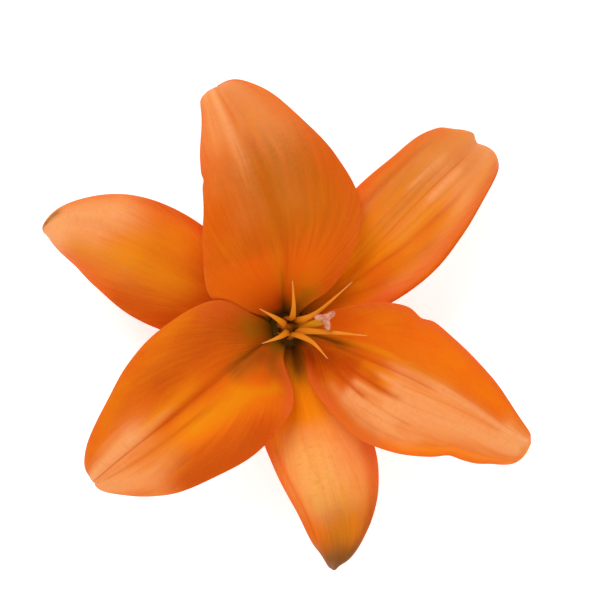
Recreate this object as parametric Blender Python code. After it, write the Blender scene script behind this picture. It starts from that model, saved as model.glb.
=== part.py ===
"""Lily bloom lying face up, cut off just under the flower.

Three broad inner petals lie over three narrower outer sepals. All six rise from a small green
receptacle as a funnel, arch outwards and bend down at their ends. The sepals' tips touch z = 0
and carry the bloom. In the throat stand six bare filaments round a green ovary, whose yellow
style curves to the right and ends in a three-lobed stigma.

The tables below are in millimetres and degrees, with the flower's axis at x = y = 0. The model
is in metres, +Z up, with its origin under the middle of the bloom's bounding box.
"""
import math

import bmesh
import bpy
import numpy as np
from mathutils import Vector

MM = 0.001

# Thickness of the blades.
MIDRIB_THICKNESS = 1.1
MARGIN_THICKNESS = 0.62

# Part of the half width over which the fold at the midrib is rounded off.
MIDRIB_ROUNDING = 0.14

# A blade is never narrower than this on either side, not even at its tip.
LEAST_HALF_WIDTH = 0.9

# Where the blades stand on the receptacle: radius and height of the middle of their base.
PETAL_SEAT = (4.75, 8.2)
SEPAL_SEAT = (6.1, 7.0)

# Ripples along each margin of a blade, and how far those of the right margin lag, in radians.
RIPPLES = 2
RIPPLE_LAG = 2.1

# Range in degrees in which the droop of a sepal is looked for, halved that many times.
DROOP_RANGE = (-12.0, 24.0)
DROOP_HALVINGS = 30

# Grid of each blade: rows from base to tip, and the places of its columns from edge to edge.
ROWS = 24
COLUMNS = (0.0, 0.09, 0.22, 0.4, 0.6, 0.8, 1.0)

# Rings along a tube and sides round it.
FILAMENT_RINGS, FILAMENT_SIDES = 19, 10
PISTIL_RINGS, PISTIL_SIDES = 25, 12

# Gap between pieces that touch on the real flower.
GAP = 0.3

# Edges sharper than this angle stay crisp.
CRISP_ANGLE = 50

# Each tuple holds stations at equal steps from base to tip, joined by a smooth curve.
# rise: angle of the midrib above the horizontal; bend: turn of the midrib to the left.
# left, right: width of the blade on either side of the midrib, looking outwards.
# cup: half angle of the hollow cross-section; lift: rise of both halves beside the midrib.
# roll: how far the margins roll down.
# groove: depth of the groove along the midrib; wave, phase: height and start of the margins' ripples.
PETAL = {
    "seat": PETAL_SEAT,
    "rise": (78, 62, 36, 11, -6, -33, -92),
    "cup": (46, 44, 38, 14, 2, -4, -16),
    "lift": (0, 0, 1.5, 2.8, 2.4, 1.2, 0.2),
    "roll": (0, 0, 1, 2, 2.4, 1.6, 0),
    "groove": (0.3, 0.5, 0.7, 0.6, 0.5, 0.3, 0.1),
    "groove_width": 2.2,
    "wave": 0.8,
    "phase": 0,
    "bluntness": 14,
    "on_surface": False,
}
SEPAL = {
    "seat": SEPAL_SEAT,
    "rise": (70, 50, 23, -2, -28, -58, -88),
    "cup": (50, 40, 22, 6, -2, -8, -16),
    "lift": (0, 0, 0.5, 0.8, 0.8, 0.5, 0.1),
    "roll": (0, 0, 1, 2, 2, 1, 0),
    "groove": (0.3, 0.5, 0.7, 0.6, 0.4, 0.2, 0),
    "groove_width": 2.0,
    "wave": 0.6,
    "phase": 40,
    "bluntness": 9,
    "on_surface": True,
}
TEPALS = {
    "petal_top": {
        **PETAL,
        "azimuth": 101,
        "length": 94,
        "bend": (-11, -10, -2, 7, 12, 16, 12),
        "lift": (0, 0, 0.5, 1.0, 1.6, 0.9, 0),
        "groove": (0.3, 0.5, 0.4, 0.4, 0.5, 0.4, 0.2),
        "cup": (46, 44, 38, 14, 2, 0, -2),
        "rise": (78, 62, 36, 11, -6, -32, -88),
        "left": (3.6, 11, 22.4, 21, 16.3, 12.4, 7.4, 6.6),
        "right": (3.6, 7, 17, 24.8, 22.4, 17.2, 11.8, 4.6),
    },
    "petal_lower_left": {
        **PETAL,
        "azimuth": 217.5,
        "length": 93,
        "bend": (-1, 0, 1, 1, 0, 2, 3),
        "bluntness": 12,
        "left": (3.6, 7.6, 19.5, 21.8, 19.4, 15.9, 8.5, 0),
        "right": (3.6, 10.5, 20.5, 21.9, 19.3, 13.8, 8.2, 2.9),
        "rise": (78, 62, 36, 11, -8, -36, -100),
        "phase": 120,
    },
    "petal_right": {
        **PETAL,
        "azimuth": -25,
        "length": 96,
        "bend": (7, 7, 4, -1, -4, -5, 8),
        "bluntness": 26,
        "cup": (46, 44, 38, 14, 2, 0, 0),
        "left": (3.6, 6.8, 12.6, 18.2, 15.6, 11.3, 5.3, 1.2),
        "right": (3.6, 5.0, 14.4, 20.4, 19.6, 14.2, 9.5, 7.2),
        "rise": (78, 62, 36, 11, -4, -24, -78),
        "wave": 1.3,
        "phase": 200,
    },
    "sepal_left": {
        **SEPAL,
        "azimuth": 153,
        "length": 108,
        "bend": (-3, -3, -4, 1, 13, 38, 78),
        "left": (3.2, 8, 16.1, 18.2, 15.2, 11.0, 8.3, 6.0),
        "right": (3.2, 8, 12, 13.8, 12.4, 7.3, 2.0, 0.9),
    },
    "sepal_upper_right": {
        **SEPAL,
        "azimuth": 44,
        "length": 107.5,
        "bend": (-2, -1, 1, 2, -1, 3, 22),
        "left": (3.2, 8, 13, 14.8, 13.8, 12.5, 5.2, 0.6),
        "right": (3.2, 8, 14.3, 16.9, 15.6, 12.3, 10.0, 9.8),
        "rise": (70, 50, 23, -2, -23, -58, -112),
        "lift": (0, 0, 0.5, 0.9, 1.1, 1.3, 0.7),
        "groove": (0.3, 0.5, 0.7, 0.7, 0.7, 1.0, 0.8),
        "phase": 160,
    },
    "sepal_bottom": {
        **SEPAL,
        "azimuth": -79,
        "length": 99,
        "bend": (0, 1, 4, 5, -2, -20, -56),
        "left": (3.2, 8, 13, 16.4, 14.1, 7.5, 1.2, 0.8),
        "right": (3.2, 8, 13.4, 12.3, 9.6, 7.3, 4.1, 0.8),
        "phase": 280,
    },
}

# The filaments stand on a ring, close in to a narrower cage and then arch out to their tips.
FILAMENT_SEAT_HEIGHT = 9.3
CAGE_RADII = (3.05, 2.95, 2.8, 2.15)
CAGE_TOP = 37.5
CAGE_LEAN = (1.7, 1.0)
FILAMENT_WIDTH = (2.2, 1.9, 1.6, 1.5, 2.0, 0.6)
FILAMENT_THICKNESS = (1.0, 0.95, 0.9, 0.9, 0.85, 0.6)
# Azimuth on the ring, azimuth in the cage, the widest place of the arch, and the tip.
FILAMENTS = {
    "filament_top": (101, 97, (2.0, 6.6, 43.5), (1.7, 13.5, 46.5)),
    "filament_upper_right": (44, 48, (8.5, 5.0, 42.5), (17.9, 13.2, 47.5)),
    "filament_right": (-25, -37, (11.9, -0.5, 45), (21.9, -1.4, 46.5)),
    "filament_lower_right": (-79, -82, (7.0, -3.2, 43.8), (11.3, -7.7, 45.5)),
    "filament_lower_left": (217.5, 227, (-2.0, -1.9, 42.8), (-6.7, -3.6, 44.5)),
    "filament_upper_left": (153, 169, (-3.1, 3.5, 43), (-7.3, 5.9, 45.5)),
}

# Middle line and radius of the ovary and the style, which grow as one piece.
PISTIL_PATH = ((0, 0, 9.4), (0, 0, 18), (0.4, 0.2, 25.5), (2.3, 0.9, 31.5), (5.1, 1.4, 36.5),
               (8.1, 1.9, 41.2), (10.2, 3.0, 46))
PISTIL_RADIUS = (1.7, 1.85, 1.3, 0.75, 0.75, 0.9, 1.1)

# Azimuths of the stigma's lobes, its shape in millimetres and the spread of a lobe in degrees.
STIGMA_LOBES = (175, 34, -80)
STIGMA_RADIUS = 3.35
STIGMA_WAIST = 1.2
STIGMA_LOBE_SPREAD = 25
STIGMA_HALF_HEIGHT = 1.1
STIGMA_SEGMENTS, STIGMA_RINGS = 30, 10

# Outline of the receptacle and the cut pedicel, radius and height. Its three steps carry the
# sepals, the petals and the filaments with the ovary.
RECEPTACLE_OUTLINE = ((0, 0.9), (2.4, 0.9), (2.6, 1.2), (2.7, 3.4), (3.4, 4.6), (5.0, 5.4), (6.4, 6.0),
                      (6.85, 6.35), (6.75, 6.55), (5.35, 6.55), (5.3, 7.75), (3.65, 7.75), (3.6, 8.95),
                      (0, 8.95))
RECEPTACLE_STEPS = 24

ORANGE = (0.78, 0.13, 0.012)
DEEP_ORANGE = (0.72, 0.11, 0.012)
AMBER = (0.80, 0.28, 0.02)
STYLE_YELLOW = (0.55, 0.34, 0.03)
LILAC = (0.60, 0.36, 0.36)
GREEN = (0.13, 0.22, 0.03)


def clear_scene():
    for item in list(bpy.data.objects):
        bpy.data.objects.remove(item)


def make_material(name, colour, roughness):
    material = bpy.data.materials.new(name)
    material.use_nodes = True
    shader = material.node_tree.nodes["Principled BSDF"]
    shader.inputs["Base Color"].default_value = (*colour, 1.0)
    shader.inputs["Roughness"].default_value = roughness
    shader.inputs["Metallic"].default_value = 0.0
    return material


def through(stations, u):
    """Smooth curve through equally spaced stations, at the fractions u of its length."""
    points = np.asarray(stations, float)
    last = len(points) - 1
    place = np.clip(np.asarray(u, float), 0.0, 1.0) * last
    index = np.minimum(place.astype(int), last - 1)
    t = place - index
    if points.ndim == 2:
        t = t[:, None]
    ends = np.concatenate([[2 * points[0] - points[1]], points, [2 * points[-1] - points[-2]]])
    a, b, c, d = ends[index], ends[index + 1], ends[index + 2], ends[index + 3]
    cubic = (3 * b - a - 3 * c + d) * t ** 3
    return 0.5 * (2 * b + (c - a) * t + (2 * a - 5 * b + 4 * c - d) * t ** 2 + cubic)


def blade_columns():
    """Places across a blade, from its right edge at -1 to its left edge at 1."""
    half = np.array(COLUMNS)
    return np.concatenate([-half[:0:-1], half])


def blade_directions(blade, u, droop):
    """Unit vectors along the midrib and to its left."""
    rise = np.radians(through(blade["rise"], u) - droop * u)
    heading = np.radians(blade["azimuth"] + through(blade["bend"], u))
    along = np.stack([np.cos(rise) * np.cos(heading), np.cos(rise) * np.sin(heading), np.sin(rise)], -1)
    side = np.stack([-np.sin(heading), np.cos(heading), 0 * heading], -1)
    return along, side


def blade_midrib(blade, u, droop):
    """Points of the midrib, added up in short straight steps."""
    steps = 4 * (len(u) - 1)
    middles = (np.arange(steps) + 0.5) / steps
    along = blade_directions(blade, middles, droop)[0] * blade["length"] / steps
    radius, height = blade["seat"]
    azimuth = math.radians(blade["azimuth"])
    seat = np.array([radius * math.cos(azimuth), radius * math.sin(azimuth), height])
    line = seat + np.concatenate([np.zeros((1, 3)), np.cumsum(along, 0)])
    return line[::4]


def blade_half_width(blade, side, u):
    """Width on one side, closed by a round tip."""
    return np.maximum(through(blade[side], u) * np.sqrt(1 - u ** blade["bluntness"]), LEAST_HALF_WIDTH)


def wing_place(v):
    """Distance from the midrib as a fraction of the width, rounded off at the midrib."""
    return np.sqrt(v * v + MIDRIB_ROUNDING ** 2) - MIDRIB_ROUNDING


def blade_surface(blade, u, v, droop=0.0):
    """Middle surface of a blade as rows of points, with its normals."""
    along, side = blade_directions(blade, u, droop)
    up = np.cross(along, side)
    left, right = blade_half_width(blade, "left", u), blade_half_width(blade, "right", u)
    width = np.where(v > 0, left[:, None], right[:, None])
    angle = np.radians(through(blade["cup"], u))[:, None]
    angle = np.where(np.abs(angle) < 0.001, 0.001, angle)
    across = width * np.sin(angle * v) / angle
    height = width * (1 - np.cos(angle * v)) / angle
    height += through(blade["lift"], u)[:, None] * (1 - (1 - wing_place(v)) ** 2)
    height -= through(blade["roll"], u)[:, None] * np.abs(v) ** 4
    height -= through(blade["groove"], u)[:, None] * np.exp(-(v * width / blade["groove_width"]) ** 2)
    phase = np.radians(blade["phase"]) + np.where(v > 0, 0.0, RIPPLE_LAG)
    ripple = blade["wave"] * np.abs(v) ** 3 * np.sin(math.pi * np.minimum(u, 0.5))[:, None] ** 2
    height += ripple * np.sin(2 * math.pi * RIPPLES * u[:, None] + phase)
    points = blade_midrib(blade, u, droop)[:, None]
    points = points + across[..., None] * side[:, None] + height[..., None] * up[:, None]
    normals = np.cross(np.gradient(points, axis=0), np.gradient(points, axis=1))
    normals /= np.linalg.norm(normals, axis=2, keepdims=True)
    return points, normals


def blade_skins(blade, u, v, droop=0.0):
    """Upper and lower skin of a blade."""
    points, normals = blade_surface(blade, u, v, droop)
    thickness = MARGIN_THICKNESS + (MIDRIB_THICKNESS - MARGIN_THICKNESS) * (1 - np.abs(v)) ** 1.5
    offset = 0.5 * thickness[None, :, None] * normals
    return points + offset, points - offset


def droop_to_surface(blade, u, v):
    """Extra droop that brings the lowest point of a blade down to z = 0."""
    low, high = DROOP_RANGE
    for _ in range(DROOP_HALVINGS):
        droop = 0.5 * (low + high)
        lowest = min(skin[..., 2].min() for skin in blade_skins(blade, u, v, droop))
        if lowest > 0:
            low = droop
        else:
            high = droop
    return droop


def make_object(name, mesh_data, material, axis):
    mesh = bpy.data.meshes.new(name)
    mesh_data.normal_update()
    mesh_data.to_mesh(mesh)
    mesh_data.free()
    mesh.materials.append(material)
    mesh.shade_smooth()
    mesh.set_sharp_from_angle(angle=math.radians(CRISP_ANGLE))
    made = bpy.data.objects.new(name, mesh)
    bpy.context.scene.collection.objects.link(made)
    made.parent = axis
    return made


def make_tepal(name, blade, material, axis):
    u = np.linspace(0, 1, ROWS + 1)
    v = blade_columns()
    droop = droop_to_surface(blade, u, v) if blade["on_surface"] else 0.0
    solid = bmesh.new()
    upper, lower = ([[solid.verts.new(point * MM) for point in row] for row in skin]
                    for skin in blade_skins(blade, u, v, droop))
    for i in range(ROWS):
        for j in range(len(v) - 1):
            for skin, flip in ((upper, 1), (lower, -1)):
                a, b, c, d = skin[i][j], skin[i + 1][j], skin[i + 1][j + 1], skin[i][j + 1]
                solid.faces.new((a, b, c)[::flip])
                solid.faces.new((a, c, d)[::flip])
    rim = [(i, 0) for i in range(ROWS)] + [(ROWS, j) for j in range(len(v) - 1)]
    rim += [(i, len(v) - 1) for i in range(ROWS, 0, -1)] + [(0, j) for j in range(len(v) - 1, 0, -1)]
    for (i, j), (k, m) in zip(rim, rim[1:] + rim[:1]):
        solid.faces.new((upper[k][m], upper[i][j], lower[i][j], lower[k][m]))
    return make_object(name, solid, material, axis)


def sweep(path, sides, half_width, half_thickness, headings):
    """Tube of elliptical section along a path; its width lies across the heading."""
    tube = bmesh.new()
    tangents = np.gradient(path, axis=0)
    rings = []
    for point, tangent, a, b, heading in zip(path, tangents, half_width, half_thickness, headings):
        along = Vector(tangent).normalized()
        side = Vector((-math.sin(heading), math.cos(heading), 0))
        side = (side - along * side.dot(along)).normalized()
        face = along.cross(side)
        ring = []
        for k in range(sides):
            turn = 2 * math.pi * k / sides
            spot = Vector(point) + side * (a * math.cos(turn)) + face * (b * math.sin(turn))
            ring.append(tube.verts.new(spot * MM))
        rings.append(ring)
    for ring, following in zip(rings, rings[1:]):
        for k in range(sides):
            n = (k + 1) % sides
            tube.faces.new((ring[k], ring[n], following[n], following[k]))
    tube.faces.new(rings[0][::-1])
    tube.faces.new(rings[-1])
    return tube


def make_filament(name, placing, material, axis):
    ring_azimuth, cage_azimuth, shoulder, tip = placing
    lean = np.array([*CAGE_LEAN, 0.0])
    stations = []
    for step, radius in enumerate(CAGE_RADII):
        share = step / (len(CAGE_RADII) - 1)
        azimuth = math.radians(ring_azimuth + (cage_azimuth - ring_azimuth) * share)
        height = FILAMENT_SEAT_HEIGHT + (CAGE_TOP - FILAMENT_SEAT_HEIGHT) * share
        out = np.array([radius * math.cos(azimuth), radius * math.sin(azimuth), height])
        stations.append(out + lean * share ** 2)
    reach = np.array(tip) - stations[-1]
    stations += [np.array(shoulder), np.array(tip)]
    tip_heading = math.degrees(math.atan2(reach[1], reach[0]))
    tip_heading += 360 * round((cage_azimuth - tip_heading) / 360)
    u = np.linspace(0, 1, FILAMENT_RINGS)
    headings = np.radians(through((ring_azimuth, cage_azimuth, cage_azimuth, tip_heading, tip_heading), u))
    path = through(stations, u)
    half_width, half_thickness = through(FILAMENT_WIDTH, u) / 2, through(FILAMENT_THICKNESS, u) / 2
    tube = sweep(path, FILAMENT_SIDES, half_width, half_thickness, headings)
    return make_object(name, tube, material, axis)


def pistil_line(u):
    return through(PISTIL_PATH, u), through(PISTIL_RADIUS, u)


def make_pistil(material, axis):
    path, radius = pistil_line(np.linspace(0, 1, PISTIL_RINGS))
    tube = sweep(path, PISTIL_SIDES, radius, radius, np.zeros(len(path)))
    return make_object("pistil", tube, material, axis)


def make_stigma(material, axis):
    path, _ = pistil_line(np.array([0.96, 1.0]))
    facing = (Vector(path[1]) - Vector(path[0])).normalized()
    middle = Vector(path[1]) + facing * (STIGMA_HALF_HEIGHT + GAP)
    turn = Vector((0, 0, 1)).rotation_difference(facing)
    blob = bmesh.new()
    bmesh.ops.create_uvsphere(blob, u_segments=STIGMA_SEGMENTS, v_segments=STIGMA_RINGS, radius=1.0)
    for vert in blob.verts:
        azimuth = math.degrees(math.atan2(vert.co.y, vert.co.x))
        lobe = sum(math.exp(-(((azimuth - place + 180) % 360 - 180) / STIGMA_LOBE_SPREAD) ** 2)
                   for place in STIGMA_LOBES)
        reach = STIGMA_WAIST + (STIGMA_RADIUS - STIGMA_WAIST) * min(lobe, 1.0)
        spot = Vector((vert.co.x * reach, vert.co.y * reach, vert.co.z * STIGMA_HALF_HEIGHT))
        vert.co = (middle + turn @ spot) * MM
    return make_object("stigma", blob, material, axis)


def make_receptacle(material, axis):
    body = bmesh.new()
    profile = [body.verts.new(Vector((radius, 0, height)) * MM) for radius, height in RECEPTACLE_OUTLINE]
    edges = [body.edges.new(pair) for pair in zip(profile, profile[1:])]
    bmesh.ops.spin(body, geom=profile + edges, cent=(0, 0, 0), axis=(0, 0, 1), angle=2 * math.pi,
                   steps=RECEPTACLE_STEPS, use_merge=True)
    bmesh.ops.remove_doubles(body, verts=body.verts, dist=0.00001)
    bmesh.ops.recalc_face_normals(body, faces=body.faces)
    return make_object("receptacle", body, material, axis)


def middle_of(objects):
    """Middle of the objects' common bounding box."""
    spots = np.array([vert.co for item in objects for vert in item.data.vertices])
    return 0.5 * (spots.min(0) + spots.max(0))


def main():
    clear_scene()
    bpy.context.scene.unit_settings.system = "METRIC"
    axis = bpy.data.objects.new("bloom_axis", None)
    bpy.context.scene.collection.objects.link(axis)
    pieces = []
    for name, blade in TEPALS.items():
        colour = DEEP_ORANGE if blade["on_surface"] else ORANGE
        pieces.append(make_tepal(name, blade, make_material(name, colour, 0.45), axis))
    for name, placing in FILAMENTS.items():
        pieces.append(make_filament(name, placing, make_material(name, AMBER, 0.4), axis))
    pieces.append(make_pistil(make_material("pistil", STYLE_YELLOW, 0.35), axis))
    pieces.append(make_stigma(make_material("stigma", LILAC, 0.7), axis))
    pieces.append(make_receptacle(make_material("receptacle", GREEN, 0.5), axis))
    middle = middle_of(pieces)
    axis.location = (-middle[0], -middle[1], 0)


main()
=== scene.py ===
import math

import bpy
import numpy as np
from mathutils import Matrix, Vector


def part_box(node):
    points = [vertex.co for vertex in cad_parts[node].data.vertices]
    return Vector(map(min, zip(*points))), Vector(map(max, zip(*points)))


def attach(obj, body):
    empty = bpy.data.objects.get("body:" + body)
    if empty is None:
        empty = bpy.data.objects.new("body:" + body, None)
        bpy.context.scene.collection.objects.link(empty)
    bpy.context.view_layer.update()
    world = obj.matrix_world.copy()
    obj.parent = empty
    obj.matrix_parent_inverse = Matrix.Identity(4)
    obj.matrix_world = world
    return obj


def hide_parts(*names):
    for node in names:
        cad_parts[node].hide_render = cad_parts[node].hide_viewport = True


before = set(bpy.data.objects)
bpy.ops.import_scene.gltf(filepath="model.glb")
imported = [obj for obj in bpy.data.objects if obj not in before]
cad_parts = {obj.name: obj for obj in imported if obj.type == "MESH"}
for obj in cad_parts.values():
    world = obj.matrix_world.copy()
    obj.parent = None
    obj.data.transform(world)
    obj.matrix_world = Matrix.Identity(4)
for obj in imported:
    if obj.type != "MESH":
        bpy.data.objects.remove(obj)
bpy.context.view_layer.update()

mm = 0.001
hubLow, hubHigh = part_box("receptacle")
hub = (hubLow + hubHigh) / 2  # the flower's axis runs through here, straight up
print("frame loaded, axis at", tuple(hub.xy))


# Curves and meshes that every piece uses

def through(stations, u):  # smooth curve through equally spaced stations
    points = np.asarray(stations, float)
    last = len(points) - 1
    place = np.clip(np.asarray(u, float), 0.0, 1.0) * last
    index = np.minimum(place.astype(int), last - 1)
    t = place - index
    if points.ndim == 2:
        t = t[:, None]
    ends = np.concatenate([[2 * points[0] - points[1]], points, [2 * points[-1] - points[-2]]])
    a, b, c, d = ends[index], ends[index + 1], ends[index + 2], ends[index + 3]
    cubic = (3 * b - a - 3 * c + d) * t ** 3
    return 0.5 * (2 * b + (c - a) * t + (2 * a - 5 * b + 4 * c - d) * t ** 2 + cubic)


def ease(value, low, high):  # 0 below low, 1 above high, smooth between
    t = np.clip((value - low) / (high - low), 0.0, 1.0)
    return t * t * (3 - 2 * t)


def unit(vectors):
    return vectors / np.linalg.norm(vectors, axis=-1, keepdims=True)


def ringFaces(rings, sides):  # the wall between closed rings of points
    faces = []
    for i in range(rings - 1):
        for k in range(sides):
            n = (k + 1) % sides
            faces.append((i * sides + k, i * sides + n, (i + 1) * sides + n, (i + 1) * sides + k))
    return faces


def placeOnAxis(points):  # from millimetres round the flower's axis to metres in the frame
    moved = np.asarray(points, float).reshape(-1, 3) * mm
    return moved + np.array([hub.x, hub.y, 0.0])


def addObject(name, data):
    added = bpy.data.objects.new(name, data)
    bpy.context.scene.collection.objects.link(added)
    return added


def meshPiece(name, points, faces, material, attributes, nodeName):
    mesh = bpy.data.meshes.new(name)
    mesh.from_pydata(placeOnAxis(points).tolist(), [], faces)
    for label, values in attributes.items():
        layer = mesh.attributes.new(label, "FLOAT_VECTOR", "POINT")
        layer.data.foreach_set("vector", np.asarray(values, np.float32).ravel())
    mesh.materials.append(material)
    mesh.shade_smooth()
    mesh.update()
    piece = addObject(name, mesh)
    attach(piece, "root")
    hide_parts(nodeName)


# Shader building

class Wire:  # an output socket; arithmetic on it adds Math nodes
    def __init__(self, paint, socket):
        self.paint = paint
        self.socket = socket

    def calc(self, operation, first, second=0.0, clamp=False):
        settings = {"operation": operation, "use_clamp": clamp}
        return self.paint.add("ShaderNodeMath", settings, {0: first, 1: second})

    def __add__(self, other):
        return self.calc("ADD", self, other)

    def __radd__(self, other):
        return self.calc("ADD", other, self)

    def __sub__(self, other):
        return self.calc("SUBTRACT", self, other)

    def __rsub__(self, other):
        return self.calc("SUBTRACT", other, self)

    def __mul__(self, other):
        return self.calc("MULTIPLY", self, other)

    def __rmul__(self, other):
        return self.calc("MULTIPLY", other, self)

    def __truediv__(self, other):
        return self.calc("DIVIDE", self, other)

    def __pow__(self, other):
        return self.calc("POWER", self, other)

    def __abs__(self):
        return self.calc("ABSOLUTE", self)

    def sine(self):
        return self.calc("SINE", self)

    def clamp(self):
        return self.calc("ADD", self, 0.0, clamp=True)

    def ease(self, low, high):  # smooth step from 0 at low to 1 at high
        sockets = {"Value": self, "From Min": low, "From Max": high}
        return self.paint.add("ShaderNodeMapRange", {"interpolation_type": "SMOOTHSTEP"}, sockets)

    def bell(self, middle, width):  # 1 at the middle, falling off on both sides
        return self.calc("EXPONENT", 0.0 - ((self - middle) / width) ** 2)


class Paint:  # a material with one Principled shader; values are the same all over it
    def __init__(self, name, values):
        self.material = bpy.data.materials.new(name)
        self.material.use_nodes = True
        self.tree = self.material.node_tree
        self.shader = self.tree.nodes["Principled BSDF"]
        for key, value in values.items():
            self.plug(self.shader.inputs[key], value)

    def add(self, kind, settings=None, sockets=None, out=0):
        node = self.tree.nodes.new(kind)
        for key, value in (settings or {}).items():
            setattr(node, key, value)
        for key, value in (sockets or {}).items():
            self.plug(node.inputs[key], value)
        return Wire(self, node.outputs[out])

    def plug(self, target, value):
        if isinstance(value, Wire):
            self.tree.links.new(value.socket, target)
        elif target.type == "RGBA" and len(value) == 3:
            target.default_value = (*value, 1.0)
        else:
            target.default_value = value

    def set(self, **values):
        for key, value in values.items():
            self.plug(self.shader.inputs[key.replace("_", " ")], value)

    def mix(self, factor, first, second):  # colour from first to second
        settings = {"data_type": "RGBA", "clamp_factor": True}
        return self.add("ShaderNodeMix", settings, {0: factor, 6: first, 7: second}, out=2)

    def split(self, vector):
        parts = self.add("ShaderNodeSeparateXYZ", None, {0: vector}).socket.node.outputs
        return [Wire(self, part) for part in parts]

    def field(self, label):  # a point attribute, with its three numbers after it
        vector = self.add("ShaderNodeAttribute", {"attribute_name": label}, out=1)
        return vector, *self.split(vector)

    def noise(self, vector, scale, detail, rough=0.5):  # scale is one number, or one for each axis
        if isinstance(scale, tuple):
            vector = self.add("ShaderNodeVectorMath", {"operation": "MULTIPLY"}, {0: vector, 1: scale})
            scale = 1.0
        sockets = {"Vector": vector, "Scale": scale, "Detail": detail, "Roughness": rough}
        return self.add("ShaderNodeTexNoise", None, sockets)

    def bump(self, layers):  # layers of (height, strength, distance in metres), each on the last
        normal = None
        for height, strength, distance in layers:
            sockets = {"Height": height, "Strength": strength, "Distance": distance}
            if normal:
                sockets["Normal"] = normal
            normal = self.add("ShaderNodeBump", None, sockets)
        self.set(Normal=normal)


# Tepals: three inner petals and three outer sepals

tepalShape = {
    "rows": 150,
    "rowPacking": 1.4,  # above 1, rows stand closer at the tip
    "halfColumns": 48,
    "midribSteps": 384,
    "midribThickness": 1.15,  # mm
    "marginThickness": 0.34,
    "thicknessFall": 1.5,  # how fast a blade thins from midrib to margin
    "marginBulge": 0.45,  # share of the thickness by which the rim is rounded out
    "midribRounding": 0.14,
    "leastHalfWidth": 0.9,
    "ripples": 2,
    "ripplePhase": 2.1,  # radians between a blade's two margins
    "ruffle": 0.3,  # mm, small waves of the margins
    "ruffleWaves": ((34, 1, 0.5), (21, 2, 0.35), (57, -1, 0.2)),  # rate, turns of the random phase, share
    "dents": 0.2,  # mm, shallow hollows all over
    "dentWaves": ((9, 3.2), (6, -4.1)),  # rates along and across
    "droopRange": (-12.0, 24.0),  # degrees, searched for the bend that lets a sepal touch the surface
    "droopHalvings": 24,
    "fanStart": 0.12,  # the veins spread out from here, as a share of the length
    "fanBase": 0.14,
    "fanStep": 3.7,  # so that no two blades have the same veins
    "washFade": 0.07,  # share of the length over which a wash of colour ends
    "foldFade": 0.06,
}
petalForm = {
    "seat": (4.75, 8.2),
    "cup": (46, 44, 38, 14, 2, -4, -16),
    "lift": (0, 0, 1.5, 2.8, 2.4, 1.2, 0.2),
    "roll": (0, 0, 1, 2, 2.4, 1.6, 0),
    "groove": (0.3, 0.5, 0.7, 0.6, 0.5, 0.3, 0.1),
    "grooveWidth": 2.2,
    "wave": 0.8,
    "phase": 0,
    "bluntness": 14,
    "onSurface": False,
    "nicks": (),
    "throatEnd": (0.13, 0.17),  # where the olive base, with its painted throat shade, ends on the right and on the left half
}
sepalForm = {
    "seat": (6.1, 7.0),
    "rise": (70, 50, 23, -2, -28, -58, -88),
    "cup": (50, 40, 22, 6, -2, -8, -16),
    "lift": (0, 0, 0.5, 0.8, 0.8, 0.5, 0.1),
    "roll": (0, 0, 1, 2, 2, 1, 0),
    "groove": (0.3, 0.5, 0.7, 0.6, 0.4, 0.2, 0),
    "grooveWidth": 2.0,
    "wave": 0.6,
    "phase": 40,
    "bluntness": 9,
    "onSurface": True,
    "nicks": (),
    "throatEnd": (0.17, 0.17),
}
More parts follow.
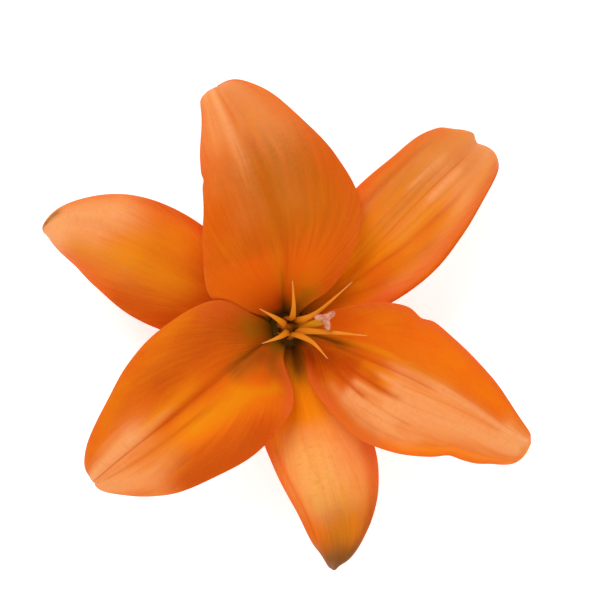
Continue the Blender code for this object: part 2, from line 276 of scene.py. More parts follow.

# Lengths in mm and angles in degrees, at equal steps from base to tip.
# A place is (share of the length, share of the half width); seen from the throat, left is positive.
# A nick is (place along the margin, its spread, depth in mm, side); a negative depth is a swelling.
# A wash is (tint, strength, from, to, spread across), and last how far its ends fade if not by washFade. The
# peach and cream washes hold painted sheen and painted highlights as well as paler tissue; the deep, rust,
# brown and olive washes hold painted shade as well as darker tissue.
# A fold is (height in mm, from, to, spread in mm).
tepals = {
    "petal_top": {
        **petalForm,
        "azimuth": 101,
        "length": 94,
        "bend": (-11, -10, -2, 7, 12, 16, 12),
        "lift": (0, 0, 0.5, 1.0, 1.6, 0.9, 0),
        "groove": (0.3, 0.5, 0.4, 0.4, 0.5, 0.4, 0.2),
        "cup": (46, 44, 38, 14, 2, 0, -2),
        "rise": (78, 62, 36, 11, -6, -32, -88),
        "left": (3.6, 11, 22.4, 21, 16.3, 12.4, 7.4, 6.6),
        "right": (3.6, 7, 17, 24.8, 22.4, 17.2, 11.8, 4.6),
        "nicks": ((0.645, 0.014, 0.5, 1),),
        "throatEnd": (0.17, 0.08),
        "washes": (
            # painted sheen where the tip turns down, over paler tissue
            ("peach", 0.95, (0.66, 0.16), (0.88, 0.22), 0.16, 0.09),
            ("peach", 0.2, (0.52, 0.08), (0.66, 0.12), 0.08, 0.06),
            ("peach", 0.2, (0.62, 0.7), (0.90, 0.7), 0.4, 0.05),
            ("peach", 0.6, (0.68, -0.5), (0.92, -0.45), 0.38, 0.08),
            ("rust", 0.2, (0.56, -0.4), (0.96, -0.5), 0.5),
            ("flame", 1.0, (0.07, 0.6), (0.34, 0.4), 0.6, 0.03),
            ("flame", 0.8, (0.16, -0.4), (0.40, -0.5), 0.4, 0.04),
            ("rust", 0.15, (0.44, -0.5), (0.66, -0.6), 0.4, 0.05),
            ("peach", 0.45, (0.76, 0.55), (0.92, 0.5), 0.3),
            ("gold", 0.5, (0.10, -0.55), (0.22, -0.5), 0.25),
            ("gold", 0.4, (0.15, 0.02), (0.40, 0.04), 0.08),
            ("deep", 0.4, (0.54, -0.10), (0.68, -0.12), 0.08, 0.05),
            ("peach", 0.3, (0.66, -0.10), (0.90, -0.14), 0.10, 0.04),
            ("peach", 0.3, (0.52, -0.3), (0.66, -0.35), 0.2, 0.05),
            ("peach", 0.25, (0.50, 0.35), (0.62, 0.35), 0.2, 0.05),
            ("deep", 0.35, (0.30, -0.08), (0.52, -0.08), 0.05),
            ("deep", 0.6, (0.42, 0.0), (0.60, 0.0), 1.2, 0.1),
            ("olive", 0.25, (0.44, -0.2), (0.60, -0.2), 0.7, 0.08),
            ("deep", 0.35, (0.26, -0.9), (0.60, -0.9), 0.3),
            ("coral", 0.4, (0.40, -0.9), (0.66, -0.9), 0.15),
            ("coral", 0.4, (0.66, -0.9), (0.92, -0.7), 0.2),
            ("coral", 0.5, (0.70, 0.95), (0.95, 0.8), 0.2),
            ("coral", 0.5, (0.94, 0.0), (1.00, 0.0), 0.9, 0.02),
            ("brown", 0.6, (0.02, 0.0), (0.10, 0.0), 0.2),
            ("brown", 0.3, (0.11, 0.04), (0.22, 0.0), 0.05),
            ("olive", 0.7, (0.08, -0.8), (0.20, -0.7), 0.3, 0.03),
        ),
        "folds": (
            (0.45, (0.60, 0.14), (0.90, 0.18), 2.2),
            (-0.2, (0.55, -0.10), (0.80, -0.13), 1.6),
            (-0.25, (0.30, -0.08), (0.50, -0.08), 1.2),
            (-0.3, (0.12, 0.06), (0.30, 0.03), 0.8),
        ),
    },
    "petal_lower_left": {
        **petalForm,
        "azimuth": 217.5,
        "length": 93,
        "bend": (-1, 0, 1, 1, 0, 2, 3),
        "bluntness": 12,
        "left": (3.6, 7.6, 19.5, 21.8, 19.4, 15.9, 8.5, 0),
        "right": (3.6, 10.5, 20.5, 21.9, 19.3, 13.8, 8.2, 2.9),
        "rise": (78, 62, 36, 11, -8, -36, -100),
        "phase": 120,
        "washes": (
            ("brown", 0.7, (0.05, -0.10), (0.24, -0.06), 0.06),
            ("deep", 0.7, (0.30, -0.05), (0.55, -0.03), 0.05),
            ("deep", 0.6, (0.55, -0.03), (0.86, -0.03), 0.03),
            ("deep", 0.4, (0.50, 0.18), (0.80, 0.22), 0.04),
            ("rust", 0.7, (0.06, 0.6), (0.20, 0.5), 0.35, 0.03),
            ("rust", 0.7, (0.17, 0.14), (0.31, 0.04), 0.14, 0.03),
            ("rust", 0.2, (0.46, 0.85), (0.62, 0.8), 0.3, 0.05),
            ("peach", 0.55, (0.72, 0.65), (0.88, 0.6), 0.35, 0.06),
            ("olive", 0.8, (0.04, -0.7), (0.17, -0.6), 0.4, 0.04),
            ("deep", 0.6, (0.20, -0.5), (0.50, -0.5), 0.3),
            ("deep", 0.9, (0.42, 0.92), (0.62, 0.9), 0.25, 0.08),
            ("deep", 0.4, (0.42, 0.7), (0.58, 0.66), 0.2, 0.06),
            ("rust", 0.4, (0.14, -0.4), (0.25, -0.4), 0.3, 0.04),
            ("gold", 0.7, (0.26, 0.66), (0.36, 0.26), 0.12, 0.02),
            ("gold", 0.8, (0.37, 0.32), (0.52, 0.26), 0.2, 0.05),
            ("flame", 0.8, (0.30, 0.5), (0.56, 0.4), 0.3, 0.03),
            ("gold", 0.3, (0.58, 0.3), (0.78, 0.3), 0.2),
            ("gold", 0.4, (0.48, -0.16), (0.70, -0.18), 0.09),
            ("rust", 0.2, (0.34, -0.6), (0.66, -0.7), 0.25, 0.05),
            ("coral", 0.8, (0.17, 0.92), (0.30, 0.95), 0.12, 0.03),
            ("coral", 0.6, (0.17, -0.9), (0.32, -0.85), 0.2, 0.03),
            ("peach", 0.25, (0.58, -0.14), (0.68, -0.15), 0.05, 0.04),
            ("peach", 1.0, (0.70, -0.2), (0.88, -0.22), 0.26, 0.06),
            ("peach", 0.3, (0.66, 0.45), (0.86, 0.5), 0.25, 0.06),
            ("peach", 0.6, (0.80, 0.3), (0.90, 0.3), 0.35),
        ),
        "folds": (
            (-0.8, (0.10, -0.08), (0.44, -0.05), 1.7),
            (-0.3, (0.44, -0.04), (0.78, -0.03), 1.3),
            (0.3, (0.55, -0.13), (0.88, -0.14), 1.3),
            (-0.3, (0.50, 0.19), (0.80, 0.22), 0.9),
        ),
    },
    "petal_right": {
        **petalForm,
        "azimuth": -25,
        "length": 96,
        "bend": (7, 7, 4, -1, -4, -5, 8),
        "bluntness": 26,
        "cup": (46, 44, 38, 14, 2, 0, 0),
        "left": (3.6, 6.8, 12.6, 18.2, 15.6, 11.3, 5.3, 1.2),
        "right": (3.6, 5.0, 14.4, 20.4, 19.6, 14.2, 9.5, 7.2),
        "rise": (78, 62, 36, 11, -4, -24, -78),
        "wave": 1.3,
        "phase": 200,
        "nicks": ((0.475, 0.022, 1.3, 1), (0.72, 0.03, 0.9, -1), (0.81, 0.035, -0.5, -1)),
        "washes": (
            ("brown", 0.9, (0.05, 0.24), (0.24, 0.15), 0.10),
            ("brown", 0.35, (0.00, -0.6), (0.12, -0.6), 0.5),
            ("deep", 0.8, (0.16, -0.32), (0.35, -0.24), 0.27, 0.02),
            ("deep", 0.8, (0.16, -0.8), (0.26, -0.7), 0.2, 0.03),
            ("deep", 0.5, (0.28, 0.03), (0.56, 0.04), 0.03, 0.03),
            ("deep", 0.5, (0.33, -0.14), (0.42, -0.17), 0.07, 0.02),
            ("deep", 0.7, (0.34, -0.24), (0.50, -0.29), 0.04, 0.02),
            ("deep", 0.7, (0.32, -0.43), (0.41, -0.47), 0.035, 0.02),
            ("deep", 0.35, (0.41, -0.47), (0.56, -0.56), 0.015, 0.02),
            ("deep", 0.2, (0.44, -0.62), (0.62, -0.66), 0.012, 0.03),
            ("deep", 0.2, (0.40, -0.74), (0.56, -0.80), 0.015, 0.03),
            ("deep", 0.25, (0.52, -0.12), (0.82, -0.02), 0.015, 0.03),
            ("deep", 0.22, (0.46, -0.32), (0.70, -0.30), 0.012, 0.03),
            ("deep", 0.25, (0.50, 0.22), (0.84, 0.27), 0.02, 0.03),
            ("flame", 0.35, (0.22, 0.6), (0.78, 0.65), 0.35),
            ("deep", 0.2, (0.20, 0.7), (0.44, 0.75), 0.3, 0.04),
            ("gold", 0.6, (0.20, 0.24), (0.60, 0.19), 0.05),
            ("gold", 0.6, (0.40, -0.10), (0.62, -0.12), 0.08),
            ("flame", 0.9, (0.60, -0.92), (0.86, -0.84), 0.10),
            ("gold", 0.4, (0.62, -0.88), (0.84, -0.80), 0.06),
            # painted sheen over paler tissue on the lower half, with painted highlights on its ridges
            ("peach", 0.9, (0.50, -0.35), (0.90, -0.3), 0.34, 0.03),
            ("peach", 0.9, (0.38, -0.56), (0.52, -0.58), 0.16, 0.02),
            ("peach", 0.8, (0.39, -0.36), (0.52, -0.38), 0.035, 0.02),
            ("peach", 0.7, (0.44, -0.12), (0.60, -0.14), 0.03, 0.02),
            ("peach", 0.6, (0.48, 0.06), (0.60, 0.10), 0.10, 0.04),
            ("peach", 0.8, (0.62, 0.10), (0.80, 0.12), 0.12, 0.04),
            ("peach", 1.0, (0.84, 0.15), (0.93, 0.2), 0.42, 0.03),
            ("gold", 0.8, (0.965, -0.5), (1.00, -0.5), 0.9, 0.012),
            ("peach", 0.35, (0.33, -0.66), (0.45, -0.78), 0.08, 0.02),
            ("rust", 0.2, (0.28, -0.8), (0.48, -0.85), 0.12, 0.03),
            ("coral", 0.8, (0.22, -0.93), (0.34, -0.93), 0.15, 0.03),
            ("coral", 0.6, (0.34, -0.90), (0.50, -0.95), 0.16, 0.03),
            ("peach", 0.5, (0.48, -0.72), (0.60, -0.74), 0.12, 0.03),
            ("coral", 0.7, (0.36, 0.98), (0.88, 0.98), 0.09),
            ("deep", 0.5, (0.08, 0.6), (0.15, 0.6), 0.4, 0.03),
            ("olive", 0.3, (0.06, 0.6), (0.13, 0.6), 0.4, 0.03),
        ),
        "folds": (
            (-0.3, (0.18, 0.18), (0.50, 0.13), 0.8),
            (-0.3, (0.20, -0.05), (0.58, 0.02), 0.6),
            (0.2, (0.40, -0.12), (0.62, -0.14), 0.6),
            (-0.3, (0.34, -0.24), (0.56, -0.30), 0.5),
            (0.25, (0.38, -0.36), (0.56, -0.40), 0.5),
            (-0.25, (0.34, -0.47), (0.52, -0.55), 0.5),
            (-0.2, (0.36, -0.70), (0.50, -0.80), 0.5),
            (-0.4, (0.60, -0.84), (0.85, -0.76), 0.9),
        ),
    },
    "sepal_left": {
        **sepalForm,
        "azimuth": 153,
        "length": 108,
        "bend": (-3, -3, -4, 1, 13, 38, 78),
        "left": (3.2, 8, 16.1, 18.2, 15.2, 11.0, 8.3, 6.0),
        "right": (3.2, 8, 12, 13.8, 12.4, 7.3, 2.0, 0.9),
        "washes": (
            ("peach", 1.0, (0.60, -0.5), (0.76, -0.25), 0.42, 0.07),
            ("peach", 0.7, (0.78, 0.3), (0.96, 0.3), 0.6),
            ("peach", 0.75, (0.63, 0.05), (0.78, 0.2), 0.32, 0.05),
            ("gold", 0.6, (0.38, 0.2), (0.50, 0.12), 0.3, 0.08),
            ("flame", 0.4, (0.24, 0.1), (0.42, 0.1), 0.6, 0.05),
            ("gold", 0.5, (0.55, 0.35), (0.70, 0.45), 0.2),
            ("peach", 0.15, (0.52, 0.6), (0.68, 0.7), 0.3),
            ("rust", 0.25, (0.28, 0.3), (0.44, 0.3), 0.9, 0.05),
            ("deep", 0.8, (0.28, 0.8), (0.48, 0.9), 0.3),
            ("coral", 0.5, (0.36, -0.85), (0.60, -0.95), 0.15),
            ("deep", 0.5, (0.38, -0.95), (0.48, -0.95), 0.12),
            ("coral", 0.8, (0.56, 0.95), (0.90, 0.85), 0.2),
            ("rust", 0.15, (0.50, 0.5), (0.66, 0.6), 0.3, 0.05),
            ("coral", 0.4, (0.40, -1.0), (0.70, -1.0), 0.1),
            ("brown", 0.55, (0.78, -0.64), (0.85, -0.54), 0.22, 0.02),
            ("brown", 0.35, (0.86, -0.5), (0.99, -0.1), 0.35, 0.02),
            ("gold", 0.9, (0.77, -0.45), (0.86, -0.4), 0.4, 0.02),
        ),
        "folds": (
            (-0.4, (0.25, 0.04), (0.60, 0.03), 1.0),
            (0.3, (0.35, 0.22), (0.70, 0.25), 1.4),
            (-0.25, (0.30, 0.50), (0.55, 0.60), 1.0),
        ),
    },
    "sepal_upper_right": {
        **sepalForm,
        "azimuth": 44,
        "length": 107.5,
        "bend": (-2, -1, 1, 2, -1, 3, 22),
        "left": (3.2, 8, 13, 14.8, 13.8, 12.5, 5.2, 0.6),
        "right": (3.2, 8, 14.3, 16.9, 15.6, 12.3, 10.0, 9.8),
        "rise": (70, 50, 23, -2, -23, -58, -112),
        "lift": (0, 0, 0.5, 0.9, 1.1, 1.3, 0.7),
        "groove": (0.3, 0.5, 0.7, 0.7, 0.7, 1.0, 0.8),
        "phase": 160,
        "nicks": ((0.87, 0.03, 1.2, 1), (0.765, 0.03, -0.6, 1)),
        "washes": (
            ("gold", 0.8, (0.18, 0.04), (0.58, 0.03), 0.16),
            ("rust", 0.15, (0.36, 0.2), (0.60, 0.2), 0.4, 0.05),
            ("gold", 0.8, (0.22, 0.3), (0.38, 0.3), 0.25),
            ("gold", 0.5, (0.40, 0.35), (0.66, 0.45), 0.25),
            ("gold", 0.6, (0.36, -0.15), (0.58, -0.3), 0.12),
            ("gold", 0.5, (0.40, -0.6), (0.74, -0.65), 0.14),
            # painted highlights on the ridges beside the middle groove
            ("peach", 0.9, (0.57, 0.30), (0.65, 0.30), 0.05, 0.03),
            ("peach", 1.0, (0.58, -0.13), (0.68, -0.15), 0.06, 0.03),
            ("peach", 0.7, (0.60, 0.12), (0.66, 0.12), 0.03, 0.03),
            ("peach", 0.5, (0.66, -0.5), (0.78, -0.5), 0.2),
            ("peach", 0.25, (0.46, 0.05), (0.64, 0.1), 0.4, 0.05),
            ("flame", 0.6, (0.20, 0.3), (0.32, 0.3), 0.4, 0.03),
            ("gold", 0.9, (0.12, -0.1), (0.27, -0.1), 0.6, 0.03),
            ("olive", 0.4, (0.10, -0.2), (0.20, -0.2), 0.5, 0.04),
            ("flame", 0.4, (0.28, 0.2), (0.44, 0.2), 0.4, 0.05),
            ("peach", 0.5, (0.66, 0.0), (0.90, 0.0), 0.8),
            ("peach", 0.25, (0.36, -0.75), (0.60, -0.7), 0.15),
            ("peach", 0.25, (0.46, 0.65), (0.66, 0.65), 0.2),
            ("rust", 0.2, (0.72, 0.0), (0.96, 0.0), 1.0, 0.09),
            ("rust", 0.25, (0.42, 0.6), (0.66, 0.65), 0.3),
            ("flame", 0.4, (0.24, -0.1), (0.32, -0.1), 0.4, 0.03),
            ("deep", 0.35, (0.25, -0.22), (0.62, -0.5), 0.05),
            ("deep", 0.2, (0.28, 0.12), (0.62, 0.16), 0.02, 0.04),
            ("deep", 0.2, (0.28, 0.24), (0.56, 0.26), 0.02, 0.04),
            ("deep", 0.2, (0.30, -0.10), (0.66, -0.28), 0.02, 0.04),
            ("gold", 0.3, (0.30, 0.55), (0.60, 0.62), 0.03, 0.04),
            ("deep", 0.35, (0.24, -0.5), (0.46, -0.65), 0.14),
            ("deep", 0.4, (0.45, -0.02), (0.70, -0.03), 0.03),
            ("coral", 0.8, (0.28, -0.85), (0.80, -0.85), 0.10),
            ("coral", 0.5, (0.45, 0.95), (0.85, 0.95), 0.1),
            ("deep", 0.8, (0.28, -1.0), (0.92, -1.0), 0.06),
            ("deep", 0.4, (0.42, 0.7), (0.60, 0.75), 0.06),
            ("brown", 0.3, (0.03, 0.1), (0.10, 0.06), 0.12),
        ),
        "folds": (
            (-0.4, (0.25, 0.03), (0.62, 0.05), 1.4),
            (0.4, (0.45, 0.26), (0.70, 0.28), 1.3),
            (0.4, (0.45, -0.13), (0.72, -0.15), 1.1),
            (-0.25, (0.25, -0.22), (0.62, -0.46), 1.0),
            (-0.25, (0.42, 0.62), (0.62, 0.66), 0.8),
        ),
    },
    "sepal_bottom": {
        **sepalForm,
        "azimuth": -79,
        "length": 99,
        "bend": (0, 1, 4, 5, -2, -20, -56),
        "left": (3.2, 8, 13, 16.4, 14.1, 7.5, 1.2, 0.8),
        "right": (3.2, 8, 13.4, 12.3, 9.6, 7.3, 4.1, 0.8),
        "phase": 280,
        "washes": (
            # painted shadow in the gap between the two lower petals
            ("brown", 0.85, (0.00, 0.1), (0.12, 0.1), 0.35),
            ("gold", 1.0, (0.14, 0.0), (0.36, 0.0), 0.9, 0.03),
            ("peach", 1.0, (0.42, -0.12), (0.50, -0.15), 0.55, 0.03),
            ("peach", 0.5, (0.36, -0.12), (0.42, -0.12), 0.55, 0.03),
            ("peach", 0.7, (0.50, -0.15), (0.58, -0.2), 0.50, 0.05),
            ("peach", 0.25, (0.40, 0.7), (0.56, 0.7), 0.2),
            ("cream", 0.7, (0.40, -0.15), (0.56, -0.15), 0.5, 0.03),
            ("gold", 0.8, (0.56, 0.2), (0.72, 0.1), 0.5),
            ("flame", 1.0, (0.42, -0.80), (0.72, -0.66), 0.12),
            ("flame", 0.7, (0.60, -0.5), (0.80, -0.4), 0.25, 0.05),
            ("deep", 0.35, (0.42, -0.82), (0.66, -0.74), 0.05),
            ("gold", 0.6, (0.28, -0.7), (0.36, -0.7), 0.2, 0.03),
            ("peach", 0.35, (0.36, 0.5), (0.56, 0.5), 0.2, 0.04),
            ("coral", 0.9, (0.34, -1.0), (0.62, -1.0), 0.10),
            ("coral", 0.9, (0.36, 0.95), (0.66, 0.97), 0.18),
            ("deep", 0.3, (0.40, 0.86), (0.66, 0.86), 0.10),
            ("rust", 0.4, (0.62, 0.1), (0.74, 0.0), 0.9),
            ("flame", 0.4, (0.64, 0.0), (0.80, 0.0), 0.8, 0.04),
            # rust, deep and brown towards the tip: painted shade where the tip turns down, over its brown
            # colour
            ("rust", 0.9, (0.76, 0.0), (1.00, 0.0), 1.5),
            ("deep", 1.0, (0.79, 0.0), (1.00, 0.0), 1.5, 0.04),
            ("brown", 0.4, (0.66, 0.9), (0.86, 0.7), 0.18),
            ("brown", 0.7, (0.80, 0.0), (1.00, 0.0), 1.5, 0.05),
            ("brown", 0.5, (0.76, 0.7), (0.94, 0.4), 0.4, 0.04),
        ),
        "folds": (
            (-0.4, (0.30, -0.76), (0.62, -0.75), 0.6),
            (0.3, (0.40, -0.25), (0.65, -0.2), 0.9),
            (-0.15, (0.35, 0.1), (0.75, 0.05), 0.5),
            (-0.15, (0.35, 0.3), (0.75, 0.2), 0.5),
            (-0.15, (0.35, 0.5), (0.70, 0.35), 0.5),
        ),
    },
}


# The washes reach the paint as point attributes, three tints in each
washLayers = {
    "warm": ("peach", "gold", "deep"),
    "dark": ("coral", "brown", "olive"),
    "bright": ("flame", "cream", "rust"),
}


def bladeDirections(blade, u, droop):  # along the midrib, and to its left
    rise = np.radians(through(blade["rise"], u) - droop * u)
    heading = np.radians(blade["azimuth"] + through(blade["bend"], u))
    along = (np.cos(rise) * np.cos(heading), np.cos(rise) * np.sin(heading), np.sin(rise))
    side = (-np.sin(heading), np.cos(heading), 0 * heading)
    return np.stack(along, -1), np.stack(side, -1)


def bladeMidrib(blade, u, droop):
    steps = tepalShape["midribSteps"]
    middles = (np.arange(steps) + 0.5) / steps
    along = bladeDirections(blade, middles, droop)[0] * blade["length"] / steps
    radius, height = blade["seat"]
    azimuth = math.radians(blade["azimuth"])
    seat = np.array([radius * math.cos(azimuth), radius * math.sin(azimuth), height])
    line = seat + np.concatenate([np.zeros((1, 3)), np.cumsum(along, 0)])
    ends = np.linspace(0, 1, steps + 1)
    return np.stack([np.interp(u, ends, line[:, k]) for k in range(3)], -1)


def bladeHalfWidth(blade, label, u):
    width = through(blade[label], u)
    for place, spread, depth, side in blade["nicks"]:
        if (side > 0) == (label == "left"):
            width = width - depth * np.exp(-((u - place) / spread) ** 2)
    return np.maximum(width * np.sqrt(1 - u ** blade["bluntness"]), tepalShape["leastHalfWidth"])


def strokeField(u, across, start, end, spread, fade):  # 1 on the line from start to end, less around it
    run = np.clip((u - start[0]) / (end[0] - start[0]), 0, 1)
    middle = start[1] + (end[1] - start[1]) * run
    beyond = (u - np.clip(u, start[0], end[0])) / fade
    return np.exp(-((across - middle) / spread) ** 2 - beyond ** 2)


def bladeRelief(blade, u, v, width, draws):  # what the plain blade lacks, along its normal
    shape = tepalShape
    run, across = u[:, None], v[None, :]
    phase = np.where(across > 0, draws[1], draws[2])
    ruffle = sum(np.sin(rate * run + turns * phase) * share for rate, turns, share in shape["ruffleWaves"])
    ruffle = ruffle * shape["ruffle"] * np.abs(across) ** 5
    ruffle = ruffle * ease(run, 0.12, 0.3) * (1 - ease(run, 0.93, 1.0))  # none at base and tip
    dents = 1.0
    for (rateAlong, rateAcross), draw in zip(shape["dentWaves"], draws[3:]):
        dents = dents * np.sin(rateAlong * run + rateAcross * across + draw)
    relief = ruffle + dents * shape["dents"] * ease(run, 0.2, 0.4) * (1 - ease(run, 0.9, 1.0))
    for height, start, end, spread in blade["folds"]:
        relief = relief + height * strokeField(run, across, start, end, spread / width, shape["foldFade"])
    return relief


def bladeSurface(blade, u, v, droop, draws):
    along, side = bladeDirections(blade, u, droop)
    up = np.cross(along, side)
    left, right = bladeHalfWidth(blade, "left", u), bladeHalfWidth(blade, "right", u)
    width = np.where(v > 0, left[:, None], right[:, None])
    angle = np.radians(through(blade["cup"], u))[:, None]
    angle = np.where(np.abs(angle) < 0.001, 0.001, angle)  # keeps flat places off a division by 0
    across = width * np.sin(angle * v) / angle
    height = width * (1 - np.cos(angle * v)) / angle
    rounding = tepalShape["midribRounding"]
    wing = np.sqrt(v * v + rounding ** 2) - rounding
    height += through(blade["lift"], u)[:, None] * (1 - (1 - wing) ** 2)
    height -= through(blade["roll"], u)[:, None] * np.abs(v) ** 4
    height -= through(blade["groove"], u)[:, None] * np.exp(-(v * width / blade["grooveWidth"]) ** 2)
    phase = np.radians(blade["phase"]) + np.where(v > 0, 0.0, tepalShape["ripplePhase"])
    ripple = blade["wave"] * np.abs(v) ** 3 * np.sin(math.pi * np.minimum(u, 0.5))[:, None] ** 2
    height += ripple * np.sin(2 * math.pi * tepalShape["ripples"] * u[:, None] + phase)
    height += bladeRelief(blade, u, v, width, draws)
    points = bladeMidrib(blade, u, droop)[:, None]
    points = points + across[..., None] * side[:, None] + height[..., None] * up[:, None]
    normals = unit(np.cross(np.gradient(points, axis=0), np.gradient(points, axis=1)))
    return points, normals, width


def bladeSkins(blade, u, v, droop, draws):  # upper side, underside and half widths
    points, normals, width = bladeSurface(blade, u, v, droop, draws)
    thin, thick = tepalShape["marginThickness"], tepalShape["midribThickness"]
    thickness = thin + (thick - thin) * (1 - np.abs(v)) ** tepalShape["thicknessFall"]
    offset = 0.5 * thickness[None, :, None] * normals
    return points + offset, points - offset, width


def droopToSurface(blade, u, v, draws):  # lets the lowest point of a sepal touch the surface
    low, high = tepalShape["droopRange"]
    for _ in range(tepalShape["droopHalvings"]):
        droop = 0.5 * (low + high)
        upper, lower, _ = bladeSkins(blade, u, v, droop, draws)
        if min(upper[..., 2].min(), lower[..., 2].min()) > 0:
            low = droop
        else:
            high = droop
    return droop


def bladeFaces(rows, columns):  # both skins and the rim between them, which has a row of points of its own
    count = (rows + 1) * columns
    corners = [i * columns + j for i in range(rows) for j in range(columns - 1)]
    faces = [(a, a + columns, a + columns + 1, a + 1) for a in corners]
    faces += [(a + count + 1, a + count + columns + 1, a + count + columns, a + count) for a in corners]
    rim = [i * columns for i in range(rows)] + [rows * columns + j for j in range(columns - 1)]
    rim += [i * columns + columns - 1 for i in range(rows, 0, -1)] + list(range(columns - 1, 0, -1))
    for k, here in enumerate(rim):
        n = (k + 1) % len(rim)
        bead, nextBead = 2 * count + k, 2 * count + n
        faces.append((rim[n], here, bead, nextBead))
        faces.append((nextBead, bead, here + count, rim[n] + count))
    return faces, rim


def rimBeads(upperRim, lowerRim):  # rounds the margin out
    middles = (upperRim + lowerRim) / 2
    tangents = unit(np.roll(middles, -1, 0) - np.roll(middles, 1, 0))
    outwards = unit(np.cross(tangents, upperRim - lowerRim))
    thickness = np.linalg.norm(upperRim - lowerRim, axis=1)[:, None]
    return middles + outwards * thickness * tepalShape["marginBulge"]


def washFields(blade, u, v):  # strength of each tint over the blade
    washes = {tint: np.zeros((len(u), len(v))) for names in washLayers.values() for tint in names}
    right, left = blade["throatEnd"]
    throatEnd = right + (left - right) * ease(v, -0.1, 0.3)
    # olive base: tissue colour with painted shade, strongest down in the throat
    washes["olive"] = 1.0 - ease(u[:, None] / throatEnd[None, :], 0.2, 1.0)
    for tint, strength, start, end, spread, *fade in blade["washes"]:
        fade = fade[0] if fade else tepalShape["washFade"]
        stroke = strength * strokeField(u[:, None], v[None, :], start, end, spread, fade)
        washes[tint] = washes[tint] + (1 - washes[tint]) * stroke
    return washes


def bladeFields(blade, u, v, width, seed):  # what the paint reads at each point of both skins
    shape = tepalShape
    place, run, fan = np.zeros((3, 2, len(u), len(v), 3))
    place[..., 0] = u[:, None]
    place[..., 1] = v[None, :]
    place[..., 2] = (1 - np.abs(v))[None, :] * width  # mm from the margin
    run[..., 0] = u[:, None] * blade["length"]
    run[..., 1] = v[None, :] * width
    run[1, ..., 2] = 1.0  # 1 on the underside
    fan[..., 0] = u[:, None]
    fan[..., 1] = v[None, :] / np.hypot(np.maximum(u - shape["fanStart"], 0), shape["fanBase"])[:, None]
    fan[..., 2] = shape["fanStep"] * seed
    fields = {"place": place, "run": run, "fan": fan}
    washes = washFields(blade, u, v)
    for label, names in washLayers.items():
        layer = np.stack([washes[tint] for tint in names], -1)
        fields[label] = np.stack([layer, layer])
    return fields


def makeTepal(name, blade, material, seed):
    u = 1 - (1 - np.linspace(0, 1, tepalShape["rows"] + 1)) ** tepalShape["rowPacking"]
    v = np.linspace(-1, 1, 2 * tepalShape["halfColumns"] + 1)
    draws = np.random.default_rng(seed).uniform(0, 2 * math.pi, 5)  # phases of ruffles and dents
    droop = droopToSurface(blade, u, v, draws) if blade["onSurface"] else 0.0
    upper, lower, width = bladeSkins(blade, u, v, droop, draws)
    upper, lower = upper.reshape(-1, 3), lower.reshape(-1, 3)
    faces, rim = bladeFaces(tepalShape["rows"], len(v))
    points = np.concatenate([upper, lower, rimBeads(upper[rim], lower[rim])])
    fields = bladeFields(blade, u, v, width, seed)
    for label, values in fields.items():
        flat = values.reshape(-1, 3)
        fields[label] = np.concatenate([flat, flat[rim]])
    meshPiece(name + "_blade", points, faces, material, fields, name)


# Every colour is linear red, green and blue
petalColours = {
    "body": (0.80, 0.152, 0.004),
    # peach: paler tissue, and painted sheen and painted highlights where the blades bend down and on ridges
    "peach": (0.98, 0.40, 0.150),
    "gold": (0.91, 0.305, 0.003),
    # deep: deeper orange-red tissue, and painted shade in the valleys, on shaded margins, on turned-down tips
    # and over the top petal's middle
    "deep": (0.60, 0.075, 0.002),
    "coral": (0.82, 0.135, 0.020),
    # brown: brown tissue at the tips, and painted shadow in the gaps between tepals down in the throat and on
    # turned-down tips
    "brown": (0.16, 0.055, 0.003),
    # olive: olive tissue at the base, and painted shade down in the throat
    "olive": (0.50, 0.210, 0.006),
    "flame": (1.0, 0.180, 0.004),
    # cream: pale tissue, and painted sheen on the middle of the bottom sepal
    "cream": (0.98, 0.500, 0.110),
    # rust: darker red-brown tissue, and painted shade on rolled margins and turned-down tips
    "rust": (0.42, 0.110, 0.008),
    "vein": (0.66, 0.070, 0.002),
    "paleVein": (0.84, 0.210, 0.040),
    "back": (0.74, 0.170, 0.030),
    "backRib": (0.45, 0.260, 0.060),
}
sepalColours = {
    **petalColours,
    "body": (0.80, 0.168, 0.005),
}
tepalTissue = {
    "Specular IOR Level": 0.04,
    "Specular Tint": (1.0, 0.65, 0.35),
    "Subsurface Weight": 0.22,
    "Subsurface Scale": 0.0014,  # metres
    "Subsurface Radius": (1.0, 0.35, 0.08),
}
tissueGrain = {  # scale along the blade, across it and through it, then detail and roughness
    "cloud": ((0.06, 0.12, 9.0), 3.0, 0.5),
    "grain": ((2.6, 2.0, 9.0), 2.0, 0.6),
    "cross": ((1.9, 0.5, 9.0), 2.0, 0.6),
    "mottle": ((0.75, 0.30, 9.0), 4.0, 0.65),
}
fanGrain = {  # the same, but spread out with the veins
    "streak": ((6.0, 6.0, 1.0), 4.0, 0.6),
    "hair": ((12.0, 28.0, 1.0), 3.0, 0.6),
}
tepalMarks = {
    "veins": 19.0,  # more packs the dark veins closer
    "veinWander": 3.0,
    "veinStrength": 0.09,
    "streakStrength": 0.09,
    "hairStrength": 0.08,
    "crossStrength": 1.2,
    "grainStrength": 0.35,
    "goldClouds": 0.35,
    "edgeWidth": 2.2,  # mm, the coral margin
    "edgeStrength": 0.3,
    "roughness": (0.42, 0.12, 0.06),  # of the tissue, and added by grain and by streaks
    "backRibWidth": 0.10,  # share of the half width
    "fibre": {"peach": 0.7, "cream": 0.9, "everywhere": 0.06},  # mottle of gold and vein colour
    "bumps": {"streak": (0.5, 0.00016), "hair": (0.35, 0.00008), "cross": (0.5, 0.00010)},
}
feathering = {  # how far the streaks fray the edges of each wash
    "flame": 3.0,
    "gold": 3.0,
    "coral": 2.0,
    "peach": 4.0,
    "cream": 4.0,
    "deep": 4.0,
    "rust": 3.0,
    "olive": 3.0,
    "brown": 2.0,
}


